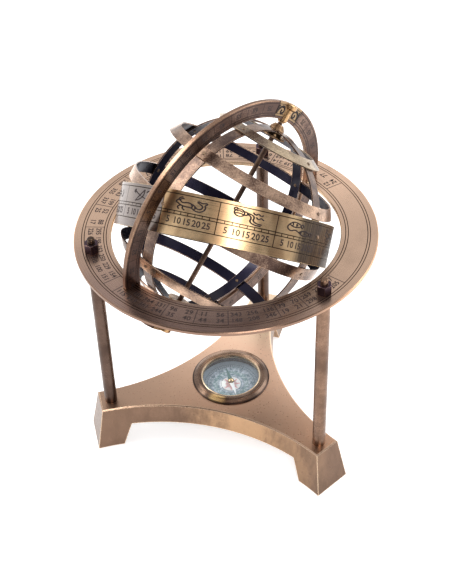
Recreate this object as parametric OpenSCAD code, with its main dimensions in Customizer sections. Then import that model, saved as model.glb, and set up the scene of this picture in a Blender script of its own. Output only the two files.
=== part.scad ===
// Armillary sphere on a three-footed stand with a compass in its base.
// Millimetres. The feet rest on z = 0 and the stand's axis is the Z axis.

/* [Horizon ring] */
// Outer diameter of the flat horizon ring
horizon_outer_d = 178; // [160:1:200]
// Width of the horizon ring's flat face
horizon_face = 21.9; // [21:0.1:23.5]
// Thickness of the horizon ring
horizon_thickness = 2.6; // [2:0.1:4]
// Height of the horizon ring's top face above the table
horizon_top_z = 153; // [130:1:175]

/* [Posts] */
// Diameter of the three round posts
post_d = 7.9; // [6.5:0.1:9]
// Distance of each post's centre from the horizon ring's rim
post_inset = 10.1; // [9.5:0.1:10.8]
// Turn of the base, its posts and its feet about the stand's axis
post_turn = 11.9; // [0:0.1:24]
// Diameter of the stud on top of each post
stud_d = 4.4; // [3.6:0.1:5]
// Height of the stud's tip above the horizon ring
stud_rise = 9.6; // [8:0.1:12]
// Width of a post nut across its flats
nut_flats = 7.6; // [7.2:0.1:8.6]
// Height of a post nut
nut_height = 6.2; // [4:0.1:7.5]

/* [Base] */
// Height of the base's top face above the table
base_top_z = 30.1; // [27:0.1:36]
// Depth of the base's side walls between the feet
skirt_depth = 14; // [12.5:0.5:18]
// Half width of the base at the middle of each hollow side
waist_r = 31.2; // [30:0.1:34]
// Distance of each hollow side's arc centre from the stand's axis
hollow_centre_r = 165.8; // [160:0.2:176]
// Reach of each foot's end face past its post's centre, at the base's top
foot_reach = 7.1; // [6.5:0.1:10]
// Outward slope of the hollow side walls, in degrees
side_draft = 6.5; // [3:0.5:8]
// Outward slope of the foot end faces, in degrees
end_draft = 10.4; // [4:0.2:12]
// Length of each foot's sole along the arm
sole_length = 17; // [16.5:0.5:20]
// Thickness of the base's top wall
top_wall = 5; // [4:0.5:6]
// Width of the small bevel round the base's top edge
base_bevel = 0.7; // [0.3:0.1:1.2]

/* [Compass] */
// Outer diameter of the compass bezel
bezel_d = 49.9; // [48:0.1:51]
// Width of the bezel, from its rim to the glass that shows
bezel_width = 6.85; // [5.6:0.05:7.5]
// Height of the bezel's crown above the base
bezel_rise = 2.5; // [1.8:0.1:3]
// Depth of the compass case below the base's top face
case_depth = 8.6; // [7.5:0.1:9]
// Length of the compass needle, tip to tip
needle_length = 27; // [20:0.5:29]
// Direction the needle's white end points at rest, anticlockwise from the right
needle_rest = -76; // [-180:1:180]

/* [Meridian ring] */
// Width of the meridian ring's flat face
meridian_face = 10.5; // [9:0.1:11.2]
// Distance from the horizon ring's hole to the meridian ring's inner edge
meridian_overhang = 0.8; // [0.4:0.1:1.4]
// Thickness of the meridian ring
meridian_thickness = 2.6; // [2:0.1:3]
// Height of the meridian ring's centre above the horizon ring's top face
meridian_rise = 7; // [5:0.5:8]
// Direction of the meridian ring's plane about the stand's axis
meridian_turn = 42.2; // [36:0.2:48]
// Lean of the meridian ring out of the upright
meridian_lean = 4.93; // [3:0.01:6]
// Height of the north pole above the horizontal, in degrees
pole_altitude = 50.5; // [44:0.5:60]
// Diameter of the turned forks that hold the poles on the meridian ring
clip_d = 6; // [5.4:0.1:6.6]

/* [Sphere bands] */
// Gap between the sphere of bands and the meridian ring's inner edge
sphere_gap = 5.1; // [4.9:0.1:5.6]
// Width of the narrow bands
band_width = 7; // [5:0.2:8]
// Thickness of the narrow bands
band_thickness = 1; // [0.8:0.05:1.1]
// Latitude of the north tropic band
north_tropic_latitude = 33; // [31:0.5:36]
// Latitude of the south tropic band, south of the equator
south_tropic_latitude = 38.5; // [37.5:0.5:40]
// Latitude of the two polar circle bands
polar_latitude = 61; // [58:0.5:64]
// Width of the zodiac band
zodiac_width = 24.3; // [20:0.1:25]
// Thickness of the zodiac band
zodiac_thickness = 1.15; // [0.9:0.05:1.2]
// Tilt of the zodiac band to the equator band
obliquity = 21; // [19:0.5:22]
// How far the zodiac band sits below the sphere's centre, along its own axis
zodiac_drop = 3.6; // [2:0.1:4.4]
// Diameter of the polar axis rod
axis_d = 3; // [2.4:0.1:3.4]

/* [Hidden] */
$fn = 96;
eps = 0.01;
post_angles = [post_turn + 60, post_turn + 180, post_turn + 300];

// Horizon ring
horizon_outer_r = horizon_outer_d / 2;
horizon_inner_r = horizon_outer_r - horizon_face;
horizon_bottom_z = horizon_top_z - horizon_thickness;
ring_edge = 0.5;
engrave_depth = 0.18;
engrave_half = 0.16;
inner_line_margin = 4.3;
outer_line_margin = 6.3;
inner_line_r = horizon_inner_r + inner_line_margin;
outer_line_r = horizon_outer_r - outer_line_margin;
line_pair_gap = 1.5;
stud_clearance = 0.12;

// Posts and their screws
post_r = post_d / 2;
post_circle_r = horizon_outer_r - post_inset;
stud_r = stud_d / 2;
stud_tip_bevel = 0.6;
nut_corner_r = nut_flats / sqrt(3);
nut_bevel = 1;
screw_r = 1.5;
screw_clearance = 0.06;
screw_head_r = 2.75;
screw_head_h = 2.2;
screw_seat_z = 9;
screw_reach = 12;
screw_slot_w = 0.9;
screw_slot_depth = 1.1;
head_clearance = 0.45;

// Base
hollow_r = hollow_centre_r - waist_r;
skirt_bottom_z = base_top_z - skirt_depth;
side_slope = tan(side_draft);
end_slope = tan(end_draft);
arm_end_r = post_circle_r + foot_reach;
block_margin = 24;
block_r = arm_end_r + block_margin;
side_wall = 4;
sole_back_r = arm_end_r + base_top_z * end_slope - sole_length;
sole_back_slope = 0.38;
recess_relief = 0.1;
cup_wall = 3;
foot_wall = 11;
cup_floor = 2.5;

// Compass
bezel_r = bezel_d / 2;
glass_view_r = bezel_r - bezel_width;
bezel_overlap = 2.6;
case_r = bezel_r - bezel_overlap;
case_wall = 1.4;
case_floor = 1.2;
glass_r = glass_view_r + 1.1;
glass_thickness = 1.2;
glass_top = base_top_z + 1.1;
case_bottom_z = base_top_z - case_depth;
dial_thickness = 0.6;
dial_gap = 0.15;
dial_top_z = case_bottom_z + case_floor + dial_thickness;
fit_gap = 0.05;
pivot_r = 0.5;
pivot_foot_r = 1.4;
pivot_foot_h = 0.8;
pivot_top_z = dial_top_z + 3.4;
needle_width = 3.4;
needle_thickness = 0.35;
needle_z = pivot_top_z - 1.1;
needle_cap_r = 2.1;
needle_cap_h = 1.5;
needle_cap_bore = 0.75;

// Meridian ring and its pole clips
meridian_inner_r = horizon_inner_r - meridian_overhang;
meridian_outer_r = meridian_inner_r + meridian_face;
meridian_centre_z = horizon_top_z + meridian_rise;
meridian_half = meridian_thickness / 2;
meridian_edge = 0.35;
notch_side_gap = 0.15;
notch_end_gap = 0.3;
clip_gap = 0.04;
clip_r = clip_d / 2;
clip_head_r = clip_r + 1.5;
clip_head_h = 3;
clip_round = 0.5;
clip_tip_r = meridian_outer_r - 0.4;
boss_tip_r = meridian_inner_r - 1.7;
boss_step = 0.6;
boss_r = 2.2;
clip_back = sqrt(pow(meridian_inner_r, 2) - pow(clip_head_r, 2)) - clip_gap;
clip_rivet_r = 0.8;
clip_rivet_sink = 0.15;
clip_rivet_at = meridian_inner_r + 0.4 * meridian_face;

// Sphere
sphere_r = meridian_inner_r - sphere_gap;
band_half = band_width / 2;
seat_gap = 0.15;
colure_outer_r = sphere_r - band_thickness - seat_gap;
colure_inner_r = colure_outer_r - band_thickness;
lap_r = colure_outer_r - band_thickness / 2;
lap_gap = 0.04;
zodiac_gap = 0.25;
zodiac_inner_r = sphere_r + zodiac_gap;
zodiac_outer_r = zodiac_inner_r + zodiac_thickness;
zodiac_half = zodiac_width / 2;
zodiac_top_margin = 1.85;
zodiac_low_margin = 4.95;
zodiac_chain_top = 1.1;
zodiac_chain_w = 1.6;
zodiac_lines = [
  zodiac_half - zodiac_top_margin, zodiac_chain_top,
  zodiac_chain_top - zodiac_chain_w, zodiac_low_margin - zodiac_half
];
latitudes = [
  polar_latitude, north_tropic_latitude, 0, -south_tropic_latitude, -polar_latitude
];

// Polar axis
axis_r = axis_d / 2;
journal_r = 1;
journal_gap = 0.05;
axis_shoulder = boss_tip_r - 0.3;
journal_tip = meridian_inner_r - 0.3;
collar_r = 4.5;
collar_top_r = 2.9;
collar_height = 3.1;
hub_rim_r = 7.2;
hub_top_r = 4.2;
hub_height = 3.4;
hub_rim = 0.8;

// Band rivets
rivet_r = 0.6;
rivet_gap = 0.02;
rivet_head_r = 1.15;
rivet_head_h = 0.4;
rivet_tail_h = 0.3;
rivet_seat = 0.02;
rivet_hole_start = colure_inner_r - 3;
rivet_hole_end = zodiac_outer_r + 3;

// Places its children in the frame of the leaning meridian ring:
// x and z lie in the ring's plane and y is its axis.
module in_meridian() {
  translate([0, 0, meridian_centre_z])
    rotate([0, 0, meridian_turn])
      rotate([meridian_lean, 0, 0])
        children();
}

// Places its children in the sphere's frame, whose z is the polar axis.
module in_sphere() {
  in_meridian()
    rotate([0, 90 - pole_altitude, 0])
      children();
}

// Turns the frame's z axis to point at a longitude and latitude of the sphere.
module at_sky(longitude, latitude) {
  rotate([0, 0, longitude])
    rotate([0, 90 - latitude, 0])
      children();
}

// A flat ring with small bevels on its edges.
module bevelled_ring(outer_r, inner_r, height, edge) {
  rotate_extrude()
    polygon([
      [inner_r, edge], [inner_r + edge, 0],
      [outer_r - edge, 0], [outer_r, edge],
      [outer_r, height - edge], [outer_r - edge, height],
      [inner_r + edge, height], [inner_r, height - edge]
    ]);
}

// One shallow engraved circle, cut from above.
module engraved_circle(r, top_z) {
  rotate_extrude()
    polygon([
      [r - engrave_half, top_z + eps],
      [r, top_z - engrave_depth],
      [r + engrave_half, top_z + eps]
    ]);
}

// The flat ring round the sphere, with two notches for the meridian ring.
module horizon_ring() {
  color([0.80, 0.64, 0.42])
    difference() {
      translate([0, 0, horizon_bottom_z])
        bevelled_ring(horizon_outer_r, horizon_inner_r, horizon_thickness, ring_edge);
      engraved_circle(inner_line_r, horizon_top_z);
      engraved_circle(inner_line_r - line_pair_gap, horizon_top_z);
      engraved_circle(outer_line_r, horizon_top_z);
      engraved_circle(outer_line_r + line_pair_gap, horizon_top_z);
      in_meridian()
        rotate([90, 0, 0])
          cylinder(r = meridian_outer_r + notch_end_gap,
                   h = meridian_thickness + 2 * notch_side_gap, center = true);
      for (a = post_angles)
        rotate([0, 0, a])
          translate([post_circle_r, 0, horizon_bottom_z - 1])
            cylinder(r = stud_r + stud_clearance, h = horizon_thickness + 2);
    }
}

// A round post with a stud on top and a tapped hole below for its screw.
module post(angle) {
  bore_r = screw_r + screw_clearance;
  color([0.42, 0.30, 0.22])
    rotate([0, 0, angle])
      translate([post_circle_r, 0, 0])
        difference() {
          union() {
            translate([0, 0, base_top_z])
              cylinder(r = post_r, h = horizon_bottom_z - base_top_z);
            translate([0, 0, horizon_bottom_z - eps])
              cylinder(r = stud_r, h = horizon_thickness + stud_rise - stud_tip_bevel + eps);
            translate([0, 0, horizon_top_z + stud_rise - stud_tip_bevel])
              cylinder(r1 = stud_r, r2 = stud_r - stud_tip_bevel, h = stud_tip_bevel);
          }
          translate([0, 0, base_top_z - 1])
            cylinder(r = bore_r, h = screw_reach + 2);
        }
}

module post_rear() {
  post(post_angles[0]);
}

module post_left() {
  post(post_angles[1]);
}

module post_right() {
  post(post_angles[2]);
}

// Three six-sided nuts with bevelled corners.
module post_nuts() {
  color([0.30, 0.22, 0.20])
    for (a = post_angles)
      rotate([0, 0, a])
        translate([post_circle_r, 0, horizon_top_z])
          difference() {
            intersection() {
              rotate([0, 0, 30 - a])
                cylinder(r = nut_corner_r, h = nut_height, $fn = 6);
              rotate_extrude()
                polygon([
                  [0, -1], [nut_corner_r + 1, -1],
                  [nut_corner_r + 1, nut_height - nut_bevel],
                  [nut_flats / 2 - 0.1, nut_height + eps], [0, nut_height + eps]
                ]);
            }
            translate([0, 0, -1])
              cylinder(r = stud_r + fit_gap, h = nut_height + 2);
          }
}

// The outline of the base between two heights, open at the soles.
// grow widens the hollow sides, which makes the outline narrower.
module base_block(z0, z1, grow, end_grow) {
  height = z1 - z0;
  r_at_z0 = hollow_r - (base_top_z - z0) * side_slope + grow;
  r_at_z1 = hollow_r - (base_top_z - z1) * side_slope + grow;
  difference() {
    translate([0, 0, z0])
      cylinder(r = block_r, h = height);
    for (a = post_angles)
      rotate([0, 0, a + 60])
        translate([hollow_centre_r, 0, z0 - eps])
          cylinder(r1 = r_at_z0 - eps * side_slope, r2 = r_at_z1 + eps * side_slope,
                   h = height + 2 * eps);
    for (a = post_angles)
      rotate([0, 0, a])
        translate([arm_end_r - end_grow, 0, base_top_z])
          rotate([0, -end_draft, 0])
            translate([0, -block_r, -2 * block_r])
              cube([block_r, 2 * block_r, 3 * block_r]);
  }
}

// The cast base: three arms with block feet, a recess for the compass.
module base_plate() {
  color([0.70, 0.52, 0.38])
    difference() {
      union() {
        base_block(0, base_top_z - base_bevel, 0, 0);
        base_top_layer();
      }
      under_cut();
      base_cavity();
      translate([0, 0, case_bottom_z - recess_relief])
        cylinder(r = case_r + fit_gap, h = case_depth + 1);
      for (a = post_angles)
        rotate([0, 0, a])
          translate([post_circle_r, 0, 0])
            post_screw_hole();
    }
}

// The bevelled layer along the base's top edge.
module base_top_layer() {
  height = base_bevel + eps;
  low_z = base_top_z - base_bevel - eps;
  low_r = hollow_r - height * side_slope;
  difference() {
    translate([0, 0, low_z])
      cylinder(r = block_r, h = height);
    for (a = post_angles)
      rotate([0, 0, a + 60])
        translate([hollow_centre_r, 0, low_z - eps])
          cylinder(r1 = low_r, r2 = low_r + base_bevel, h = height + 2 * eps);
    for (a = post_angles)
      rotate([0, 0, a])
        translate([arm_end_r + base_bevel * end_slope, 0, low_z])
          rotate([0, -45, 0])
            translate([0, -block_r, -block_r])
              cube([2 * block_r, 2 * block_r, 2 * block_r]);
  }
}

// Clears the space under the base between the three feet.
module under_cut() {
  difference() {
    translate([0, 0, -1])
      cylinder(r = block_r, h = skirt_bottom_z + 1);
    for (a = post_angles)
      rotate([0, 0, a])
        translate([sole_back_r, -block_r / 2, 0])
          rotate([0, -atan(sole_back_slope), 0])
            translate([0, 0, -block_r / 2])
              cube([block_r, block_r, block_r * 2]);
  }
}

// The hollow under the top wall, with a cup for the compass left standing.
module base_cavity() {
  cavity_top = base_top_z - top_wall;
  difference() {
    base_block(skirt_bottom_z - 1, cavity_top, side_wall, side_wall);
    translate([0, 0, skirt_bottom_z - 2])
      cylinder(r = case_r + cup_wall, h = skirt_depth);
    for (a = post_angles)
      rotate([0, 0, a])
        translate([sole_back_r - foot_wall, -block_r / 2, 0])
          cube([block_r, block_r, block_r]);
  }
  translate([0, 0, skirt_bottom_z - 1])
    cylinder(r = case_r - 1, h = case_bottom_z - cup_floor - skirt_bottom_z + 1);
}

// Stepped hole for one post screw, open at the sole.
module post_screw_hole() {
  translate([0, 0, -1])
    cylinder(r = screw_head_r + head_clearance, h = screw_seat_z + 1);
  translate([0, 0, -1])
    cylinder(r = screw_r + screw_clearance, h = base_top_z + 2);
}

// Three slotted screws that hold the posts from under the feet.
module base_screws() {
  color([0.62, 0.48, 0.30])
    for (a = post_angles)
      rotate([0, 0, a])
        translate([post_circle_r, 0, 0])
          difference() {
            union() {
              translate([0, 0, screw_seat_z - screw_head_h])
                cylinder(r = screw_head_r, h = screw_head_h);
              translate([0, 0, screw_seat_z - eps])
                cylinder(r = screw_r, h = base_top_z + screw_reach - screw_seat_z);
            }
            translate([-block_r / 2, -screw_slot_w / 2, screw_seat_z - screw_head_h - 1])
              cube([block_r, screw_slot_w, screw_slot_depth + 1]);
          }
}

// The cup that holds the dial, the pivot and the glass.
module compass_case() {
  color([0.50, 0.38, 0.26])
    difference() {
      translate([0, 0, case_bottom_z])
        cylinder(r = case_r, h = case_depth - fit_gap);
      translate([0, 0, case_bottom_z + case_floor])
        cylinder(r = case_r - case_wall, h = case_depth);
    }
}

// The domed ring round the glass, with a stepped inner lip.
module compass_bezel() {
  crown = base_top_z + bezel_rise;
  seat_r = glass_r + fit_gap;
  under_glass = glass_top - glass_thickness - fit_gap;
  ledge = 0.9;
  color([0.32, 0.25, 0.20])
    rotate_extrude()
      polygon([
        [bezel_r, base_top_z],
        [bezel_r, base_top_z + 0.5],
        [bezel_r - 0.18 * bezel_width, base_top_z + 0.52 * bezel_rise],
        [bezel_r - 0.36 * bezel_width, base_top_z + 0.86 * bezel_rise],
        [bezel_r - 0.52 * bezel_width, crown],
        [bezel_r - 0.66 * bezel_width, crown - 0.06],
        [bezel_r - 0.80 * bezel_width, crown - 0.45],
        [bezel_r - 0.86 * bezel_width, crown - 0.62],
        [bezel_r - 0.90 * bezel_width, crown - 0.50],
        [glass_view_r + 0.25, crown - 0.62],
        [glass_view_r, glass_top + 0.35],
        [glass_view_r, glass_top + fit_gap],
        [seat_r, glass_top + fit_gap],
        [seat_r, under_glass],
        [glass_view_r, under_glass],
        [glass_view_r, under_glass - ledge],
        [case_r - case_wall - fit_gap, under_glass - ledge],
        [case_r - case_wall - fit_gap, base_top_z]
      ]);
}

// The round glass over the dial.
module compass_glass() {
  color([0.75, 0.85, 0.90, 0.35])
    translate([0, 0, glass_top - glass_thickness])
      cylinder(r = glass_r, h = glass_thickness);
}

// The dial plate, pierced for the pivot.
module compass_dial() {
  color([0.62, 0.68, 0.72])
    translate([0, 0, case_bottom_z + case_floor])
      difference() {
        cylinder(r = case_r - case_wall - dial_gap, h = dial_thickness);
        translate([0, 0, -1])
          cylinder(r = pivot_r + fit_gap, h = dial_thickness + 2);
      }
}

// The pointed pin that carries the needle.
module compass_pivot() {
  bottom = case_bottom_z + case_floor;
  color([0.75, 0.60, 0.35])
    rotate_extrude()
      polygon([
        [0, bottom], [pivot_r, bottom],
        [pivot_r, dial_top_z], [pivot_foot_r, dial_top_z],
        [pivot_foot_r, dial_top_z + pivot_foot_h * 0.5],
        [pivot_r, dial_top_z + pivot_foot_h],
        [pivot_r, pivot_top_z - 0.9], [0, pivot_top_z]
      ]);
}

// The long lozenge needle, pierced in the middle for its cap.
module compass_needle() {
  half_l = needle_length / 2;
  half_w = needle_width / 2;
  color([0.75, 0.30, 0.30])
    translate([0, 0, needle_z])
      rotate([0, 0, needle_rest])
        difference() {
          linear_extrude(height = needle_thickness)
            polygon([[half_l, 0], [0, half_w], [-half_l, 0], [0, -half_w]]);
          translate([0, 0, -1])
            cylinder(r = needle_cap_bore + 0.4 + fit_gap / 2, h = 3);
        }
}

// The little brass cap that rides on the pivot's point.
module needle_cap() {
  neck_r = needle_cap_bore + 0.4;
  top = needle_z + needle_thickness + needle_cap_h;
  color([0.85, 0.70, 0.40])
    rotate_extrude()
      polygon([
        [needle_cap_bore, needle_z - 0.2],
        [neck_r, needle_z - 0.2],
        [neck_r, needle_z + needle_thickness],
        [needle_cap_r, needle_z + needle_thickness],
        [needle_cap_r * 0.8, needle_z + needle_thickness + needle_cap_h * 0.6],
        [needle_cap_r * 0.35, top],
        [0, top],
        [0, pivot_top_z + fit_gap],
        [needle_cap_bore, pivot_top_z - 0.6]
      ]);
}

// The upright ring that carries the poles, drilled for the clip rivets.
module meridian_ring() {
  color([0.42, 0.32, 0.26])
    in_meridian()
      difference() {
        rotate([90, 0, 0])
          translate([0, 0, -meridian_half])
            bevelled_ring(meridian_outer_r, meridian_inner_r, meridian_thickness, meridian_edge);
        for (side = [0, 180])
          rotate([0, side - pole_altitude, 0])
            translate([clip_rivet_at, 0, 0])
              rotate([90, 0, 0])
                cylinder(r = clip_rivet_r + fit_gap, h = 3 * meridian_thickness, center = true);
      }
}

// A turned fork that straddles the meridian ring from inside,
// with a bearing for one end of the axis and a flange at its open end.
module pole_clip(side) {
  head_from = clip_tip_r - clip_head_h;
  color([0.82, 0.62, 0.34])
    in_meridian()
      rotate([0, side - pole_altitude, 0])
        difference() {
          rotate([0, 90, 0])
            rotate_extrude()
              polygon([
                [journal_r + journal_gap, boss_tip_r],
                [boss_r, boss_tip_r],
                [boss_r, boss_tip_r + boss_step],
                [clip_r, boss_tip_r + 2 * boss_step],
                [clip_r, head_from - clip_round],
                [clip_head_r, head_from + clip_round],
                [clip_head_r, clip_tip_r - clip_round],
                [clip_head_r - clip_round, clip_tip_r],
                [journal_r + journal_gap, clip_tip_r]
              ]);
          translate([clip_back, -meridian_half - clip_gap, -block_r])
            cube([block_r, meridian_thickness + 2 * clip_gap, 2 * block_r]);
          translate([clip_rivet_at, 0, 0])
            rotate([90, 0, 0])
              cylinder(r = clip_rivet_r + fit_gap, h = 3 * clip_head_r, center = true);
        }
}

module north_pole_clip() {
  pole_clip(0);
}

module south_pole_clip() {
  pole_clip(180);
}

// Two flush pins that hold the clips to the meridian ring.
module clip_rivets() {
  half = clip_r - clip_rivet_sink;
  color([0.72, 0.56, 0.34])
    in_meridian()
      for (side = [0, 180])
        rotate([0, side - pole_altitude, 0])
          translate([clip_rivet_at, 0, 0])
            rotate([90, 0, 0])
              cylinder(r = clip_rivet_r, h = 2 * half, center = true);
}

// The thin rod from pole to pole, turned down at both ends.
module axis_rod() {
  color([0.36, 0.28, 0.24])
    in_sphere()
      rotate_extrude()
        polygon([
          [0, -journal_tip], [journal_r, -journal_tip],
          [journal_r, -axis_shoulder], [axis_r, -axis_shoulder],
          [axis_r, axis_shoulder], [journal_r, axis_shoulder],
          [journal_r, journal_tip], [0, journal_tip]
        ]);
}

// Bell-shaped hub on the rod, inside the crossing of the two colures.
module pole_hub(side) {
  top = sqrt(pow(colure_inner_r, 2) - pow(hub_top_r, 2)) - fit_gap;
  bore = axis_r + fit_gap / 2;
  color([0.55, 0.46, 0.28])
    in_sphere()
      rotate([side, 0, 0])
        rotate_extrude()
          polygon([
            [bore, top], [hub_top_r, top],
            [hub_top_r, top - 0.5],
            [hub_top_r + 0.5, top - hub_height * 0.35],
            [hub_top_r + 1.3, top - hub_height * 0.65],
            [hub_rim_r - 0.4, top - hub_height + hub_rim],
            [hub_rim_r, top - hub_height + hub_rim],
            [hub_rim_r, top - hub_height],
            [bore, top - hub_height]
          ]);
}

module north_hub() {
  pole_hub(0);
}

module south_hub() {
  pole_hub(180);
}

// Bell-shaped collar on the rod, outside the crossing of the two colures.
module pole_collar(side) {
  bottom = colure_outer_r + fit_gap;
  bore = axis_r + fit_gap / 2;
  top = bottom + collar_height;
  color([0.60, 0.50, 0.30])
    in_sphere()
      rotate([side, 0, 0])
        rotate_extrude()
          polygon([
            [bore, bottom], [collar_r, bottom],
            [collar_r, bottom + 0.22 * collar_height],
            [collar_r - 0.25, bottom + 0.30 * collar_height],
            [0.55 * collar_r + 0.45 * collar_top_r, bottom + 0.52 * collar_height],
            [0.18 * collar_r + 0.82 * collar_top_r, bottom + 0.78 * collar_height],
            [collar_top_r, bottom + 0.90 * collar_height],
            [collar_top_r - 0.25, top],
            [bore, top]
          ]);
}

module north_collar() {
  pole_collar(0);
}

module south_collar() {
  pole_collar(180);
}

// A hoop of flat strip that lies on the sphere along one parallel.
module parallel_strip(latitude) {
  mid_r = sphere_r - band_thickness / 2;
  t = band_thickness / 2;
  c = cos(latitude);
  s = sin(latitude);
  rotate_extrude()
    polygon([
      [(mid_r - t) * c - band_half * s, (mid_r - t) * s + band_half * c],
      [(mid_r - t) * c + band_half * s, (mid_r - t) * s - band_half * c],
      [(mid_r + t) * c + band_half * s, (mid_r + t) * s - band_half * c],
      [(mid_r + t) * c - band_half * s, (mid_r + t) * s + band_half * c]
    ]);
}

// Radial hole for one band rivet.
module rivet_hole() {
  translate([0, 0, rivet_hole_start])
    cylinder(r = rivet_r + rivet_gap, h = rivet_hole_end - rivet_hole_start, $fn = 24);
}

module parallel_band(latitude) {
  color([0.52, 0.38, 0.28])
    in_sphere()
      difference() {
        parallel_strip(latitude);
        for (longitude = [0, 90, 180, 270])
          at_sky(longitude, latitude)
            rivet_hole();
      }
}

module equator_band() {
  parallel_band(0);
}

module north_tropic_band() {
  parallel_band(north_tropic_latitude);
}

module south_tropic_band() {
  parallel_band(-south_tropic_latitude);
}

module north_polar_circle() {
  parallel_band(polar_latitude);
}

module south_polar_circle() {
  parallel_band(-polar_latitude);
}

// A hoop through both poles, drilled for the rod and the band rivets.
module colure_hoop(longitude) {
  difference() {
    rotate([0, 0, longitude])
      rotate([90, 0, 0])
        translate([0, 0, -band_half])
          difference() {
            cylinder(r = colure_outer_r, h = band_width);
            translate([0, 0, -1])
              cylinder(r = colure_inner_r, h = band_width + 2);
          }
    cylinder(r = axis_r + fit_gap, h = 3 * sphere_r, center = true);
    for (latitude = latitudes)
      for (half = [0, 180])
        at_sky(longitude + half, latitude)
          rivet_hole();
  }
}

// Through the equinoxes; it keeps its outer half where it crosses the other.
module equinoctial_colure() {
  color([0.48, 0.36, 0.28])
    in_sphere()
      difference() {
        colure_hoop(0);
        translate([-band_half - lap_gap, -band_width, -lap_r - lap_gap / 2])
          cube([band_width + 2 * lap_gap, 2 * band_width, 2 * lap_r + lap_gap]);
      }
}

// Through the solstices; it keeps its inner half where it crosses the other.
module solstitial_colure() {
  cut = 4 * band_thickness;
  color([0.46, 0.34, 0.27])
    in_sphere()
      difference() {
        colure_hoop(90);
        for (top = [lap_r - lap_gap / 2, -lap_r + lap_gap / 2 - cut])
          translate([-band_width, -band_half - lap_gap, top])
            cube([2 * band_width, band_width + 2 * lap_gap, cut]);
        for (side = [90, 270])
          at_sky(side, side == 90 ? -obliquity : obliquity)
            rivet_hole();
      }
}

// One shallow groove round the outside of a hoop, cut at a height on its axis.
module hoop_groove(r, at) {
  rotate_extrude()
    polygon([
      [r + eps, at - engrave_half],
      [r - engrave_depth, at],
      [r + eps, at + engrave_half]
    ]);
}

// The broad tilted band, with engraved lines above and below its figures.
module zodiac_band() {
  color([0.85, 0.66, 0.36])
    in_sphere()
      difference() {
        rotate([-obliquity, 0, 0])
          translate([0, 0, -zodiac_drop])
            difference() {
              rotate_extrude()
                polygon([
                  [zodiac_inner_r, -zodiac_half], [zodiac_outer_r, -zodiac_half],
                  [zodiac_outer_r, zodiac_half], [zodiac_inner_r, zodiac_half]
                ]);
              for (at = zodiac_lines)
                hoop_groove(zodiac_outer_r, at);
            }
        for (longitude = [0, 180])
          at_sky(longitude, 0)
            rivet_hole();
        for (side = [90, 270])
          at_sky(side, side == 90 ? -obliquity : obliquity)
            rivet_hole();
      }
}

// One rivet along the frame's z axis, its outer head resting at head_at.
module band_rivet(head_at) {
  tail_at = colure_inner_r - rivet_seat;
  seat = head_at + rivet_seat;
  rotate_extrude($fn = 32)
    polygon([
      [0, tail_at - rivet_tail_h],
      [rivet_head_r * 0.7, tail_at - rivet_tail_h],
      [rivet_head_r * 0.9, tail_at],
      [rivet_r, tail_at],
      [rivet_r, seat],
      [rivet_head_r, seat],
      [rivet_head_r * 0.65, seat + rivet_head_h],
      [0, seat + rivet_head_h]
    ]);
}

// Rivets at every crossing of the bands.
module band_rivets() {
  color([0.66, 0.50, 0.32])
    in_sphere() {
      for (latitude = latitudes)
        for (longitude = [0, 90, 180, 270])
          at_sky(longitude, latitude)
            band_rivet(latitude == 0 && longitude % 180 == 0 ? zodiac_outer_r : sphere_r);
      for (side = [90, 270])
        at_sky(side, side == 90 ? -obliquity : obliquity)
          band_rivet(zodiac_outer_r);
    }
}

base_plate();
base_screws();
post_left();
post_right();
post_rear();
post_nuts();
horizon_ring();
compass_case();
compass_bezel();
compass_glass();
compass_dial();
compass_pivot();
compass_needle();
needle_cap();
meridian_ring();
north_pole_clip();
south_pole_clip();
clip_rivets();
axis_rod();
north_hub();
south_hub();
north_collar();
south_collar();
equinoctial_colure();
solstitial_colure();
equator_band();
north_tropic_band();
south_tropic_band();
north_polar_circle();
south_polar_circle();
zodiac_band();
band_rivets();
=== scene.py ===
"""Looks of a brass armillary sphere on a footed base with a compass."""

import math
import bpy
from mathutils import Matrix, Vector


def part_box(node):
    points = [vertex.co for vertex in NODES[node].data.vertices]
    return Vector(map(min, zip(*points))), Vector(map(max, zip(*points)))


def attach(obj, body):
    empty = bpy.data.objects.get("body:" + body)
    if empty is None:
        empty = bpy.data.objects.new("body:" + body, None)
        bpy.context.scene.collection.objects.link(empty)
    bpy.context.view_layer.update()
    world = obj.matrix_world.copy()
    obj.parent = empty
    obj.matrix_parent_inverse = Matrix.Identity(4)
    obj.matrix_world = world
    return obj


bl_info = {
    "name": "Armillary sphere looks",
    "version": (1, 0, 0),
    "blender": (4, 5, 0),
    "location": "3D View > Sidebar > Armillary",
    "description": "Finishes, engraving, compass and studio for a brass armillary sphere",
    "category": "Object",
}

import bmesh
import bpy
from bpy.props import FloatProperty, FloatVectorProperty, IntProperty, PointerProperty
from mathutils import Matrix, Vector

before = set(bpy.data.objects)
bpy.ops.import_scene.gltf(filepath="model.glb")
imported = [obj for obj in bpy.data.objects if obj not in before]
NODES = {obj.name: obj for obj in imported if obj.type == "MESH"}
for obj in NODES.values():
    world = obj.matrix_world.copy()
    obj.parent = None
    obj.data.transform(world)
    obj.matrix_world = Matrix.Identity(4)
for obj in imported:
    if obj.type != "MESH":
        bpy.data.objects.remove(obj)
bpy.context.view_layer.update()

MM = 0.001


def turn_by(degrees, axis):
    """A rotation round an axis."""
    return Matrix.Rotation(math.radians(degrees), 4, axis)


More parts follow.
